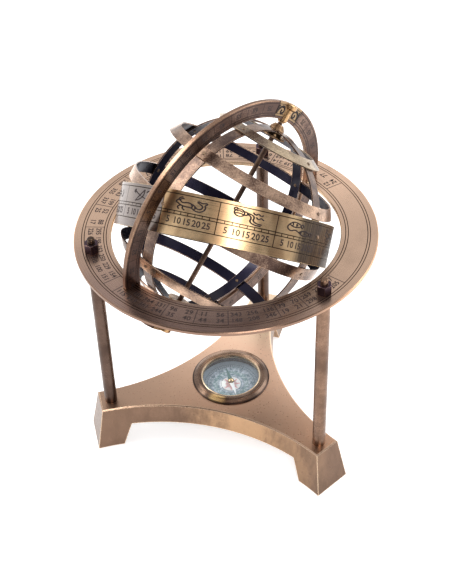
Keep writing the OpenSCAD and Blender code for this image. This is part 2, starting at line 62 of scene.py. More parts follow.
# Places of the ring, the sphere and the zodiac band, as the solids have them
LEVEL = Matrix.Identity(4)
RING_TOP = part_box("horizon_ring")[1].z
CENTRE = Vector((0, 0, RING_TOP + 7 * MM))
MERIDIAN_TURN = 42.2
MERIDIAN_LEAN = 4.93
MERIDIAN = Matrix.Translation(CENTRE) @ turn_by(MERIDIAN_TURN, "Z") @ turn_by(MERIDIAN_LEAN, "X")
MERIDIAN_DISC = MERIDIAN @ turn_by(90, "X")
MERIDIAN_HALF = 1.3
POLE_ALTITUDE = 50.5
SPHERE = MERIDIAN @ turn_by(90 - POLE_ALTITUDE, "Y")
ZODIAC_TILT = 21
ZODIAC_DROP = 3.6 * MM
ZODIAC = SPHERE @ turn_by(-ZODIAC_TILT, "X") @ Matrix.Translation((0, 0, -ZODIAC_DROP))
ZODIAC_R = 62.6
DIAL_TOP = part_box("compass_dial")[1].z
NEEDLE = turn_by(-76, "Z")

# Engraved lines, rows of numbers and figures, as radii or heights on a hoop, in millimetres
HORIZON_EDGES = (67.8, 88.4)
HORIZON_LINES = (69.9, 71.4, 82.7, 84.2)
HORIZON_ROWS = (79.3, 74.6)
DIVIDER_R = 77.05
DIVIDER_LENGTH = 11.3
NOTCH_END = 77.8
# Painted highlight lines along the meridian ring's rims, as radius and half width
MERIDIAN_HIGHLIGHT_LINES = ((76.8, 0.42), (66.3, 0.3))
MERIDIAN_LINES = (67.9, 69.3, 75.2)
MERIDIAN_ROW = 72.3
CURL_R = 71.6
ZODIAC_LINES = (10.3, 1.1, -0.5, -7.2)
FIGURE_ROW = 5.7
ZODIAC_ROW = -3.9
DIAL_LINES = (17.5, 15.5, 8.4, 6.5)
DIAL_ROW = 13.2

# Cells of the horizon ring, with the degree where each starts and what it holds
HORIZON_CELLS = (
    (175.6, "long"), (213.2, "short"), (219.3, "wide"), (243.3, "pairs"), (256.5, "pairs"),
    (269.7, "long"), (290, "pairs"), (301.7, "wide"), (321.5, "bare"), (30, "pairs"),
    (42, "long"), (66, "pairs"), (78, "pairs"), (90, "long"), (114, "pairs"),
    (126, "pairs"), (138, "long"), (160, "pairs"),
)

# How deep the marks sit in the metal and how far they stand out
SINK = 0.03 * MM
PROUD = 0.02 * MM

# The photograph's size and middle in pixels, and the camera that fits it
IMAGE_WIDTH = 452
IMAGE_HEIGHT = 584
MIDDLE_X = 233.39
MIDDLE_Y = 290.88
CAMERA_PLACE = (0, -0.5598, 0.5967)
CAMERA_PITCH = 41.32
CAMERA_YAW = 0.34
CAMERA_ROLL = -1.72

# Each light with its place, its size and its colour
LIGHTS = (
    ("key", (-0.75, 0.25, 1.15), 0.7, (1.0, 0.97, 0.93)),
    ("fill", (0.95, 0.3, 0.75), 0.6, (0.96, 0.98, 1.0)),
    ("front", (0.3, -1.12, 1.15), 0.55, (1.0, 0.96, 0.92)),
)


# Settings a user would change


class RingSettings(bpy.types.PropertyGroup):
    """Engraving of the horizon ring and the meridian ring"""

    number_height: FloatProperty(
        name="Number height", description="Height of the horizon ring's numbers",
        default=3.3 * MM, unit="LENGTH")
    meridian_number_height: FloatProperty(
        name="Meridian number height", description="Height of the meridian ring's numbers",
        default=3.1 * MM, unit="LENGTH")
    line_width: FloatProperty(
        name="Line width", description="Width of the engraved lines",
        default=0.46 * MM, unit="LENGTH")
    horizon_colour: FloatVectorProperty(
        name="Horizon ring", description="Polished brass of the horizon ring",
        default=(0.66, 0.45, 0.32), subtype="COLOR")
    horizon_shade: FloatVectorProperty(
        name="Horizon ring's patina", description="Dark purple brown at the ring's front",
        default=(0.15, 0.10, 0.10), subtype="COLOR")
    engraving_colour: FloatVectorProperty(
        name="Engraving", description="Dark wax in the engraved lines",
        default=(0.022, 0.013, 0.012), subtype="COLOR")


class BandSettings(bpy.types.PropertyGroup):
    """The sphere's bands"""

    zodiac_colour: FloatVectorProperty(
        name="Zodiac band", description="Golden brass of the zodiac band",
        default=(1.0, 0.71, 0.40), subtype="COLOR")
    band_colour: FloatVectorProperty(
        name="Bands", description="Rubbed brass of the narrow bands",
        default=(0.62, 0.42, 0.29), subtype="COLOR")
    patina_colour: FloatVectorProperty(
        name="Patina", description="Dark brown patina in the lows",
        default=(0.085, 0.050, 0.040), subtype="COLOR")
    inner_colour: FloatVectorProperty(
        name="Inner sides", description="Almost black blue patina inside the hoops",
        default=(0.018, 0.016, 0.032), subtype="COLOR")
    zodiac_number_height: FloatProperty(
        name="Zodiac number height", description="Height of the zodiac band's numbers",
        default=3.55 * MM, unit="LENGTH")
    figure_stroke: FloatProperty(
        name="Figure stroke", description="Half width of the zodiac figures' strokes",
        default=0.29 * MM, unit="LENGTH")


class StandSettings(bpy.types.PropertyGroup):
    """Base, posts and nuts"""

    base_colour: FloatVectorProperty(
        name="Base", description="Satin cast brass of the base",
        default=(0.66, 0.44, 0.31), subtype="COLOR")
    side_colour: FloatVectorProperty(
        name="Base sides", description="Browner brass of the base's walls",
        default=(0.36, 0.225, 0.155), subtype="COLOR")
    wall_gold: FloatVectorProperty(
        name="Golden part of the walls", description="Rubbed golden brass in the middle of the walls",
        default=(0.58, 0.36, 0.20), subtype="COLOR")
    post_colour: FloatVectorProperty(
        name="Right post", description="Rubbed golden brown brass of the right post",
        default=(0.34, 0.21, 0.14), subtype="COLOR")
    dark_post_colour: FloatVectorProperty(
        name="Left and rear post", description="Darker patina of the other two posts",
        default=(0.15, 0.10, 0.075), subtype="COLOR")
    nut_colour: FloatVectorProperty(
        name="Nuts", description="Almost black patina of the nuts",
        default=(0.060, 0.038, 0.050), subtype="COLOR")
    worn_colour: FloatVectorProperty(
        name="Worn edges", description="Bare copper-coloured metal on worn edges",
        default=(0.86, 0.56, 0.34), subtype="COLOR")


class CompassSettings(bpy.types.PropertyGroup):
    """The compass in the base"""

    dial_colour: FloatVectorProperty(
        name="Dial", description="Pale blue-grey of the dial",
        default=(0.34, 0.41, 0.48), subtype="COLOR")
    print_colour: FloatVectorProperty(
        name="Print", description="Dark print of the dial",
        default=(0.05, 0.09, 0.12), subtype="COLOR")
    rose_colour: FloatVectorProperty(
        name="Rose", description="Pink of the dial's centre",
        default=(0.72, 0.36, 0.38), subtype="COLOR")
    rose_points: IntProperty(
        name="Rose points", description="Number of points of the printed rose",
        default=8, min=4, max=16)


class StageSettings(bpy.types.PropertyGroup):
    """Floor, lights and camera"""

    key_power: FloatProperty(
        name="Key light", description="Power of the large light at the upper left",
        default=9.0, unit="POWER")
    fill_power: FloatProperty(
        name="Fill light", description="Power of the light at the right",
        default=3.2, unit="POWER")
    front_power: FloatProperty(
        name="Front light", description="Power of the light above and behind the camera",
        default=7.0, unit="POWER")
    focal: FloatProperty(
        name="Focal length", description="Focal length of the camera",
        default=75.2, unit="CAMERA")


# Node trees


def put(socket, value):
    """Links a value into a socket, or sets it there."""
    if isinstance(value, bpy.types.NodeSocket):
        socket.id_data.links.new(value, socket)
    elif socket.type == "RGBA":
        socket.default_value = (*value, 1.0)
    else:
        socket.default_value = value


def add_node(tree, kind, inputs=None, **settings):
    """Adds a node, sets it up and returns its outputs."""
    made = tree.nodes.new(kind)
    for name, value in settings.items():
        setattr(made, name, value)
    for name, value in (inputs or {}).items():
        put(made.inputs[name], value)
    return made.outputs


def calc(operation, *values):
    """A math node on these values, at least one of them a socket."""
    tree = next(value.id_data for value in values if isinstance(value, bpy.types.NodeSocket))
    return add_node(tree, "ShaderNodeMath", dict(enumerate(values)), operation=operation)[0]


def times(a, b):
    return calc("MULTIPLY", a, b)


def plus(a, b):
    return calc("ADD", a, b)


def less(a, b):
    return calc("SUBTRACT", a, b)


def above(a, b):
    return calc("GREATER_THAN", a, b)


def below(a, b):
    return calc("LESS_THAN", a, b)


def away(a, b):
    """How far two values are apart."""
    return calc("ABSOLUTE", less(a, b))


def largest(*masks):
    """The largest of several masks."""
    whole = masks[0]
    for mask in masks[1:]:
        whole = calc("MAXIMUM", whole, mask)
    return whole


def ramp(value, low, high, to_low=0.0, to_high=1.0, smooth=True):
    """Spreads the range from low to high over another one."""
    return add_node(value.id_data, "ShaderNodeMapRange",
                    {"Value": value, "From Min": low, "From Max": high,
                     "To Min": to_low, "To Max": to_high},
                    interpolation_type="SMOOTHSTEP" if smooth else "LINEAR")["Result"]


def blend(share, a, b):
    """Colour a where the share is none, colour b where it is one."""
    return add_node(share.id_data, "ShaderNodeMix", {0: share, 6: a, 7: b}, data_type="RGBA")[2]


def noise(place, scale, detail=3.0, roughness=0.55):
    return add_node(place.id_data, "ShaderNodeTexNoise", {
        "Vector": place, "Scale": scale, "Detail": detail, "Roughness": roughness})[0]


def split(place):
    """The three parts of a place."""
    return add_node(place.id_data, "ShaderNodeSeparateXYZ", {"Vector": place})


def combine(x, y, z=0.0):
    return add_node(x.id_data, "ShaderNodeCombineXYZ", {"X": x, "Y": y, "Z": z})[0]


def soft_line(off, half):
    """One closer than half, with a soft edge."""
    return ramp(off, times(half, 0.7), times(half, 1.3), 1.0, 0.0)


def shade(colour, share):
    """A darker or lighter colour."""
    return tuple(share * part for part in colour)


def new_group(name, outputs, inputs, build):
    """A node group with these sockets, where an input without a number is a place."""
    tree = bpy.data.node_groups.new(name, "ShaderNodeTree")
    for key, value in inputs.items():
        kind = "NodeSocketVector" if value is None else "NodeSocketFloat"
        socket = tree.interface.new_socket(key, in_out="INPUT", socket_type=kind)
        if value is not None:
            socket.default_value = value
    for key in outputs:
        tree.interface.new_socket(key, in_out="OUTPUT", socket_type="NodeSocketFloat")
    build(add_node(tree, "NodeGroupInput"), tree.nodes.new("NodeGroupOutput").inputs)
    return tree


def grouped(*outputs, **inputs):
    """Turns a builder into a function that adds its node group, built only once."""
    def wrap(build):
        def add(*values):
            name = build.__name__
            tree = bpy.data.node_groups.get(name) or new_group(name, outputs, inputs, build)
            made = add_node(values[0].id_data, "ShaderNodeGroup", dict(zip(inputs, values)),
                            node_tree=tree)
            return made if len(outputs) > 1 else made[0]
        return add
    return wrap


@grouped("Bright", "Grain", "Height", Vector=None, Blotch=60, Grain=900, Rubbed=0.5)
def rubbed_patina(entry, leave):
    """Where rubbing has left the metal bright, and a fine grain."""
    large = noise(entry["Vector"], entry["Blotch"], 4.0, 0.6)
    fine = noise(entry["Vector"], entry["Grain"], 2.0, 0.5)
    both = plus(times(large, 0.75), times(fine, 0.25))
    low = less(0.86, times(entry["Rubbed"], 0.62))
    put(leave["Bright"], ramp(both, less(low, 0.12), plus(low, 0.26)))
    put(leave["Grain"], fine)
    put(leave["Height"], both)


@grouped("Mask", Vector=None, Width=0.0006, Break=400)
def worn_edges(entry, leave):
    """One on sharp edges, where handling has bared the metal."""
    tree = entry["Vector"].id_data
    rounded = add_node(tree, "ShaderNodeBevel", {"Radius": entry["Width"]}, samples=6)[0]
    flat = add_node(tree, "ShaderNodeNewGeometry")["Normal"]
    along = add_node(tree, "ShaderNodeVectorMath", {0: rounded, 1: flat},
                     operation="DOT_PRODUCT")["Value"]
    broken = ramp(noise(entry["Vector"], entry["Break"]), 0.25, 0.6, 0.35, 1.0)
    put(leave["Mask"], times(ramp(less(1.0, along), 0.01, 0.16), broken))


@grouped("Radius", "Turn", "Height", Vector=None)
def round_places(entry, leave):
    """Radius, turn and height round an axis, in millimetres and degrees."""
    x, y, z = split(entry["Vector"])
    squares = plus(times(x, x), times(y, y))
    put(leave["Radius"], times(calc("SQRT", squares), 1000))
    put(leave["Turn"], plus(times(calc("ARCTAN2", y, x), 180 / math.pi), 180))
    put(leave["Height"], times(z, 1000))


@grouped("Mask", Value=0.0, At=0.0, Half=0.15)
def cut_line(entry, leave):
    """One within Half of At, with a soft edge."""
    put(leave["Mask"], soft_line(away(entry["Value"], entry["At"]), entry["Half"]))


@grouped("Mask", Turn=0.0, Radius=80, Across=0.0, Step=1.0, From=0.0, To=1.0, Half=0.1)
def scale_marks(entry, leave):
    """Short marks every Step degrees between two radii or heights."""
    steps = calc("DIVIDE", entry["Turn"], entry["Step"])
    near = times(away(steps, calc("ROUND", steps)), entry["Step"])
    arc = times(near, times(entry["Radius"], math.pi / 180))
    between = times(above(entry["Across"], entry["From"]), below(entry["Across"], entry["To"]))
    put(leave["Mask"], times(soft_line(arc, entry["Half"]), between))


@grouped("Grain", Radius=0.0, Turn=0.0, Height=0.0)
def turned_grain(entry, leave):
    """Fine circular brushing round an axis."""
    place = combine(times(entry["Radius"], 5.0), times(entry["Turn"], 0.03),
                    times(entry["Height"], 5.0))
    put(leave["Grain"], noise(place, 1.0, 3.0, 0.65))


@grouped("Mask", Vector=None, Limit=60)
def inner_side(entry, leave):
    """One closer to the sphere's centre than Limit, in millimetres."""
    place = entry["Vector"]
    apart = add_node(place.id_data, "ShaderNodeVectorMath", {0: place, 1: CENTRE},
                     operation="DISTANCE")["Value"]
    put(leave["Mask"], below(times(apart, 1000), entry["Limit"]))


@grouped("Mask", Turn=0.0, Across=0.0, Pace=0.1)
def soft_bands(entry, leave):
    """Painted sheen: broad soft steps round an axis that stand in for reflections along a hoop."""
    place = combine(times(entry["Turn"], entry["Pace"]), times(entry["Across"], 0.03))
    put(leave["Mask"], ramp(noise(place, 1.0, 2.0, 0.6), 0.36, 0.62))


class Coat:
    """A material whose colour is laid on in layers."""

    def __init__(self, name, metallic=1.0, sockets=None):
        self.material = bpy.data.materials.new(name)
        self.material.use_nodes = True
        self.tree = self.material.node_tree
        self.shader = self.tree.nodes["Principled BSDF"].inputs
        self.place = add_node(self.tree, "ShaderNodeTexCoord")["Object"]
        self.colour = None
        self.set({"Metallic": metallic, **(sockets or {})})

    def set(self, sockets):
        for key, value in sockets.items():
            put(self.shader[key], value)

    def place_in(self, axes):
        """Object coordinates in a frame set in the object."""
        back = axes.inverted()
        return add_node(self.tree, "ShaderNodeMapping", {
            "Vector": self.place, "Location": back.translation,
            "Rotation": back.to_euler("XYZ")})[0]

    def turned(self, axes=LEVEL):
        """Radius, turn and height round an axis, and circular brushing."""
        place = self.place if axes is LEVEL else self.place_in(axes)
        radius, turn, height = round_places(place)
        return radius, turn, height, turned_grain(radius, turn, height)

    def lay(self, share, colour):
        """Lays a colour over the last one where the share is one."""
        self.colour = blend(share, self.colour, colour)

    def done(self, roughness, height=None, strength=0.1, distance=0.1 * MM):
        """Puts in the colour, the roughness and the bump, and gives the material."""
        self.set({"Base Color": self.colour, "Roughness": roughness})
        if height is not None:
            self.set({"Normal": add_node(self.tree, "ShaderNodeBump", {
                "Height": height, "Strength": strength, "Distance": distance})[0]})
        return self.material


def brass(name, bright, dark, rubbed=0.5, blotch=60, grain=900, rough=0.3, spread=0.15,
          edge=None, edge_width=0.0004, bump=0.15, inner=None, lacquer=0.0, low_shade=0.0):
    """Brass with patina in its lows, a rubbed face, worn edges, a dark inner side and painted shade
    lower down.
    """
    look = bpy.context.scene.arm_bands
    coat = Coat(name, sockets={"Coat Weight": lacquer, "Coat Roughness": 0.12})
    skin = rubbed_patina(coat.place, blotch, grain, rubbed)
    coat.colour = blend(skin["Bright"], dark, bright)
    # Painted shade: darker towards the bottom, in the patina colour
    if low_shade:
        low = ramp(split(coat.place)["Z"], CENTRE.z + 0.005, CENTRE.z - 0.045, 0.0, low_shade)
        coat.lay(low, look.patina_colour)
    if inner is not None:
        coat.lay(inner_side(coat.place, inner), look.inner_colour)
    if edge is not None:
        coat.lay(worn_edges(coat.place, edge_width), edge)
    roughness = ramp(skin["Bright"], 0.0, 1.0, rough + spread, rough, smooth=False)
    return coat.done(roughness, skin["Height"], bump, 0.2 * MM)


def engraving_material():
    """Dark wax, made the first time it is asked for."""
    found = bpy.data.materials.get("dark_engraving")
    if found:
        return found
    dark = bpy.context.scene.arm_rings.engraving_colour
    coat = Coat("dark_engraving", metallic=0.4)
    tone = noise(coat.place, 900, 2.0)
    coat.colour = blend(ramp(tone, 0.3, 0.7), dark, shade(dark, 2.2))
    return coat.done(ramp(tone, 0.0, 1.0, 0.45, 0.7, smooth=False))


def dress(material, *names):
    """Gives CAD nodes their finish."""
    for name in names:
        node = NODES[name]
        if not node.material_slots:
            node.data.materials.append(material)
        for slot in node.material_slots:
            slot.material = material


# Modelling helpers


def start_clean():
    """Nothing selected and object mode on."""
    if bpy.context.object and bpy.context.object.mode != "OBJECT":
        bpy.ops.object.mode_set(mode="OBJECT")
    bpy.ops.object.select_all(action="DESELECT")


def label_mesh(text, height):
    """A flat engraved label, centred on the origin and facing +Z."""
    start_clean()
    bpy.ops.object.text_add(location=(0, 0, 0))
    data = bpy.context.object.data
    data.body = text
    data.size = height / 0.72
    data.align_x = "CENTER"
    data.align_y = "CENTER"
    data.resolution_u = 2
    data.offset = 0.03 * height
    data.extrude = (SINK + PROUD) / 2
    bpy.ops.object.convert(target="MESH")
    obj = bpy.context.object
    obj.data.transform(Matrix.Translation((0, 0, (PROUD - SINK) / 2)))
    return obj


def strip_mesh(length, width):
    """A flat engraved stroke along X, centred on the origin."""
    start_clean()
    bpy.ops.mesh.primitive_cube_add(size=1, location=(0, 0, (PROUD - SINK) / 2),
                                    scale=(length, width, SINK + PROUD))
    bpy.ops.object.transform_apply(location=True, rotation=True, scale=True)
    return bpy.context.object


def bend(obj, radius, stretch=(1, 1)):
    """Stretches a flat mark and wraps it round a hoop of this radius."""
    for vertex in obj.data.vertices:
        x, y, z = vertex.co
        turn = x * stretch[0] / radius
        vertex.co = ((radius + z) * math.sin(turn), y * stretch[1],
                     (radius + z) * math.cos(turn) - radius)
    return obj


def lay_out(name, marks, body, material):
    """Joins small meshes, each put in place by a matrix, into one piece that rides on a body."""
    whole = bpy.data.meshes.new(name)
    made = bmesh.new()
    for source, matrix in marks:
        copy = source.data.copy()
        copy.transform(matrix)
        made.from_mesh(copy)
        bpy.data.meshes.remove(copy)
    bmesh.ops.remove_doubles(made, verts=made.verts, dist=1e-7)
    made.to_mesh(whole)
    made.free()
    for source in {source for source, _ in marks}:
        bpy.data.objects.remove(source)
    whole.materials.append(material)
    obj = bpy.data.objects.new(name, whole)
    bpy.context.collection.objects.link(obj)
    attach(obj, body)


def on_disc(axes, radius, angle, height, turn=0.0):
    """A place on a flat ring, its x along the circle and its y outwards."""
    return (axes @ turn_by(angle, "Z") @ Matrix.Translation((radius * MM, 0, height * MM))
            @ turn_by(turn - 90, "Z"))


def on_hoop(axes, radius, angle, height):
    """A place on the outside of a hoop, its x along the hoop and its y up the hoop's axis."""
    return (axes @ turn_by(angle, "Z") @ Matrix.Translation((radius * MM, 0, height * MM))
            @ turn_by(90, "Z") @ turn_by(90, "X"))


# Operators, one for each piece or group of like pieces


class ARM_OT_base(bpy.types.Operator):
    """Finish the cast base with satin brass, soft stains, painted shade on its walls and bright worn
    edges with a painted highlight
    """

    bl_idname = "armillary.base"
    bl_label = "Base"

    def execute(self, context):
        look = context.scene.arm_stand
        coat = Coat("base_cast_brass")
        x, y, _ = split(coat.place)
        east, _, upward = split(add_node(coat.tree, "ShaderNodeNewGeometry")["Normal"])
        skin = rubbed_patina(coat.place, 24, 700, 0.84)
        level = ramp(upward, 0.15, 0.7)
        # The walls are browner than the level faces: partly patina, partly painted shade on the walls
        coat.colour = self.walls(look, coat, x, east, skin["Bright"])
        coat.lay(level, self.top(look, x, y, skin["Bright"]))
        # Painted shade: the left of the base darker, the walls more than the level faces
        left = ramp(x, -0.095, 0.0, 0.75, 0.0)
        coat.lay(times(left, ramp(level, 0.0, 1.0, 1.0, 0.55)), shade(look.side_colour, 0.55))
        # Bare metal on worn edges, and a painted highlight along the rounded edges, made brighter by
        # less metallic shading there
        wear_and_edge_highlight = ramp(worn_edges(coat.place, 0.001, 120), 0.0, 0.45)
        coat.lay(wear_and_edge_highlight, (1.0, 0.74, 0.5))
        coat.set({"Metallic": ramp(wear_and_edge_highlight, 0.0, 1.0, 1.0, 0.35)})
        roughness = ramp(skin["Grain"], 0.2, 0.8, 0.26, 0.38)
        dress(coat.done(roughness, skin["Height"], 0.2, 0.3 * MM), "base_plate")
        dress(brass("screw_brass", (0.7, 0.5, 0.27), (0.2, 0.13, 0.08), 0.7), "base_screws")
        return {"FINISHED"}

    def top(self, look, x, y, bright):
        """The level faces, brighter towards the rear."""
        colour = look.base_colour
        rearward = ramp(plus(y, times(x, 0.5)), -0.05, 0.07)
        lit = blend(rearward, shade(colour, 0.7), shade(colour, 1.75))
        return blend(ramp(bright, 0.0, 1.0, 0.7, 1.0), shade(colour, 0.7), lit)

    def walls(self, look, coat, x, east, bright):
        """Brown walls, streaked upwards and golden in the middle, with painted shade on the faces
        that turn sideways and to the left.
        """
        side = look.side_colour
        drawn = add_node(coat.tree, "ShaderNodeMapping", {
            "Vector": coat.place, "Scale": (1.0, 1.0, 0.35)})[0]
        streak = noise(drawn, 90, 4.0, 0.6)
        mottled = times(bright, ramp(streak, 0.32, 0.62, 0.25, 1.0))
        wall = blend(mottled, shade(side, 0.28), shade(side, 0.72))
        gold = cut_line(times(x, 1000), 14, 38)
        wall = blend(times(gold, ramp(mottled, 0.0, 1.0, 0.15, 0.7)), wall, look.wall_gold)
        # Painted shade: walls that face sideways darker
        sideways_shade = ramp(away(east, -0.05), 0.35, 0.8, 0.0, 0.6)
        wall = blend(sideways_shade, wall, shade(side, 0.5))
        # Painted shade: walls that face left, on the left of the base, much darker
        left_facing_shade = times(ramp(east, -0.4, -0.85, 0.0, 0.9), ramp(x, 0.02, -0.04))
        return blend(left_facing_shade, wall, shade(side, 0.14))


class ARM_OT_posts(bpy.types.Operator):
    """Finish the posts and their nuts with dark rubbed patina"""

    bl_idname = "armillary.posts"
    bl_label = "Posts and nuts"

    def execute(self, context):
        look = context.scene.arm_stand
        for name, colour, posts in (
                ("golden_post_patina", shade(look.post_colour, 1.2), ("post_right",)),
                ("dark_post_patina", look.dark_post_colour, ("post_left", "post_rear"))):
            dress(brass(name, colour, shade(colour, 0.42), 0.66, blotch=70, grain=1400,
                        rough=0.22, spread=0.14, edge=shade(look.worn_colour, 0.6),
                        low_shade=0.4), *posts)
        dress(brass("nut_patina", shade(look.nut_colour, 1.5), look.nut_colour, blotch=300,
                    grain=1500, rough=0.26, spread=0.12, edge=shade(look.worn_colour, 0.45)),
              "post_nuts")
        return {"FINISHED"}


class ARM_OT_horizon_ring(bpy.types.Operator):
    """Finish the horizon ring and cut its scales and numbers"""

    bl_idname = "armillary.horizon_ring"
    bl_label = "Horizon ring"

    def execute(self, context):
        look = context.scene.arm_rings
        bright = look.horizon_colour
        coat = Coat("horizon_brass")
        x, y, _ = split(coat.place)
        radius, _, height, grain = coat.turned()
        skin = rubbed_patina(coat.place, 35, 1300, 0.9)
        lit = times(ramp(y, 0.0, 0.05), ramp(x, 0.01, 0.06))
        face = blend(lit, shade(bright, 0.9), shade(bright, 1.3))
        tone = times(skin["Bright"], ramp(grain, 0.3, 0.7, 0.9, 1.0))
        coat.colour = blend(tone, shade(bright, 0.6), face)
        front = ramp(plus(y, times(x, 0.35)), -0.095, -0.01, 0.75, 0.0)
        coat.lay(front, look.horizon_shade)
        coat.lay(worn_edges(coat.place, 0.0007, 90), context.scene.arm_stand.worn_colour)
        # The outer wall: copper, with painted shade at the front
        outer = blend(ramp(front, 0.0, 0.6), (0.86, 0.5, 0.3), (0.24, 0.145, 0.1))
        lip, rim = HORIZON_EDGES
        coat.lay(times(above(radius, rim), 0.75), outer)
        coat.lay(times(below(radius, lip), 0.6), (0.92, 0.66, 0.42))
        lines = largest(*[cut_line(radius, at, 0.24) for at in HORIZON_LINES])
        coat.lay(times(lines, above(height, RING_TOP / MM - 0.3)), look.engraving_colour)
        roughness = ramp(grain, 0.2, 0.8, 0.22, 0.36)
        dress(coat.done(roughness, plus(grain, times(skin["Grain"], 0.4))), "horizon_ring")
        self.cut_marks(look)
        return {"FINISHED"}

    def cut_marks(self, look):
        """Cells with dividers and plain numbers, like the tables on old horizon rings."""
        top = RING_TOP / MM
        divider = strip_mesh(DIVIDER_LENGTH * MM, look.line_width)
        marks = []
        seed = 7
        for i, (start, kind) in enumerate(HORIZON_CELLS):
            wide = (HORIZON_CELLS[(i + 1) % len(HORIZON_CELLS)][0] - start) % 360
            if self.clear_of_notches(DIVIDER_R, start, 2.0):
                marks.append((divider, on_disc(LEVEL, DIVIDER_R, start, top, 90)))
            if kind == "pairs":
                places, step, low, height = (0.24, 0.76), 1, 10, look.number_height
            elif kind in ("long", "wide"):
                count = max(2, round(wide / 6.4))
                places = [(k + 0.5) / count for k in range(count)]
                step, low, height = 3, 100, 0.92 * look.number_height
            else:
                continue
            for radius in HORIZON_ROWS:
                for share in places:
                    seed = (seed * 29 + 17) % 89
                    angle = start + share * wide
                    if self.clear_of_notches(radius, angle, 3.8):
                        label = label_mesh(str(low + step * seed), height)
                        marks.append((label, on_disc(LEVEL, radius, angle, top, 180)))
        lay_out("horizon_numbers", marks, "stand", engraving_material())

    def clear_of_notches(self, radius, angle, reach):
        """Whether a mark stays this many degrees from the notches, or outside them."""
        apart = min(abs(angle - MERIDIAN_TURN), abs(angle - MERIDIAN_TURN - 180))
        return radius > NOTCH_END or apart > reach


class ARM_OT_meridian_ring(bpy.types.Operator):
    """Finish the meridian ring and its clips and cut its degree scale"""

    bl_idname = "armillary.meridian_ring"
    bl_label = "Meridian ring"

    def execute(self, context):
        rings = context.scene.arm_rings
        coat = Coat("meridian_patina")
        _, y, z = split(coat.place)
        radius, turn, _, grain = coat.turned(MERIDIAN_DISC)
        skin = rubbed_patina(coat.place, 42, 1300, 0.52)
        # Painted sheen in soft bands round the ring
        bright = blend(soft_bands(turn, radius, 0.045), (0.4, 0.27, 0.21), (0.64, 0.42, 0.29))
        # Painted shade: low at the front, just above the horizon ring, dark purple
        low = ramp(z, CENTRE.z + 0.034, CENTRE.z + 0.004, 0.0, 0.85)
        low_front = times(low, ramp(y, 0.03, -0.02))
        bright = blend(low_front, bright, (0.04, 0.028, 0.042))
        tone = times(skin["Bright"], ramp(grain, 0.3, 0.7, 0.7, 1.0))
        coat.colour = blend(tone, context.scene.arm_bands.patina_colour, bright)

        # A golden plate round each clip
        inmost, inner, outer = MERIDIAN_LINES
        from_pole = calc("PINGPONG", less(turn, POLE_ALTITUDE), 90)
        plate = times(ramp(from_pole, 9.3, 8.9, 0.0, 0.6), above(radius, inmost))
        coat.lay(plate, (0.46, 0.31, 0.155))

        # Bare metal on worn edges, and a painted highlight along the rims
        rim_highlights = largest(*[cut_line(radius, at, half) for at, half in MERIDIAN_HIGHLIGHT_LINES])
        bare = largest(worn_edges(coat.place, 0.0007, 160), times(rim_highlights, 0.22))
        # Less bare metal and highlight in the painted shade
        bare = times(bare, ramp(low_front, 0.0, 0.8, 1.0, 0.35, smooth=False))
        coat.lay(bare, (0.78, 0.48, 0.3))
        cuts = [cut_line(radius, at, 0.2) for at in MERIDIAN_LINES]
        cuts += [scale_marks(turn, radius, radius, 1.0, inmost, inner, 0.12),
                 scale_marks(turn, radius, radius, 10, inner, outer, 0.15),
                 cut_line(from_pole, 9.6, 0.3)]
        coat.lay(largest(*cuts), rings.engraving_colour)
        roughness = ramp(grain, 0.2, 0.8, 0.24, 0.4)
        relief = plus(grain, times(skin["Grain"], 0.5))
        dress(coat.done(roughness, relief, 0.12), "meridian_ring")
        dress(brass("bare_turned_brass", (0.6, 0.37, 0.18), (0.22, 0.12, 0.06), 0.8,
                    blotch=220, grain=1500, rough=0.22, spread=0.16,
                    edge=(0.8, 0.54, 0.29), edge_width=0.0003),
              "north_pole_clip", "south_pole_clip", "clip_rivets")
        self.cut_marks(rings)
        return {"FINISHED"}

    def cut_marks(self, rings):
        """Degrees of latitude on both faces, and a curl on each side of the clips."""
        marks = []
        for side, pole in ((MERIDIAN_DISC, POLE_ALTITUDE),
                           (MERIDIAN_DISC @ turn_by(180, "X"), -POLE_ALTITUDE)):
            for step in range(5, 360, 10):
                number = abs(90 - min(step, 360 - step))
                if number <= 80:
                    label = label_mesh(str(number), rings.meridian_number_height)
                    place = on_disc(side, MERIDIAN_ROW, pole + step, MERIDIAN_HALF, 180)
                    marks.append((label, place))
            for end in (0, 180):
                for beside in (-1, 1):
                    place = on_disc(side, CURL_R, pole + end + 6.2 * beside, MERIDIAN_HALF)
                    size = Matrix.Diagonal((1.5 * beside, 1.55, 1, 1))
                    marks.append((figure_mesh("curl", 0.5 * MM), place @ size))
        lay_out("meridian_numbers", marks, "meridian", engraving_material())


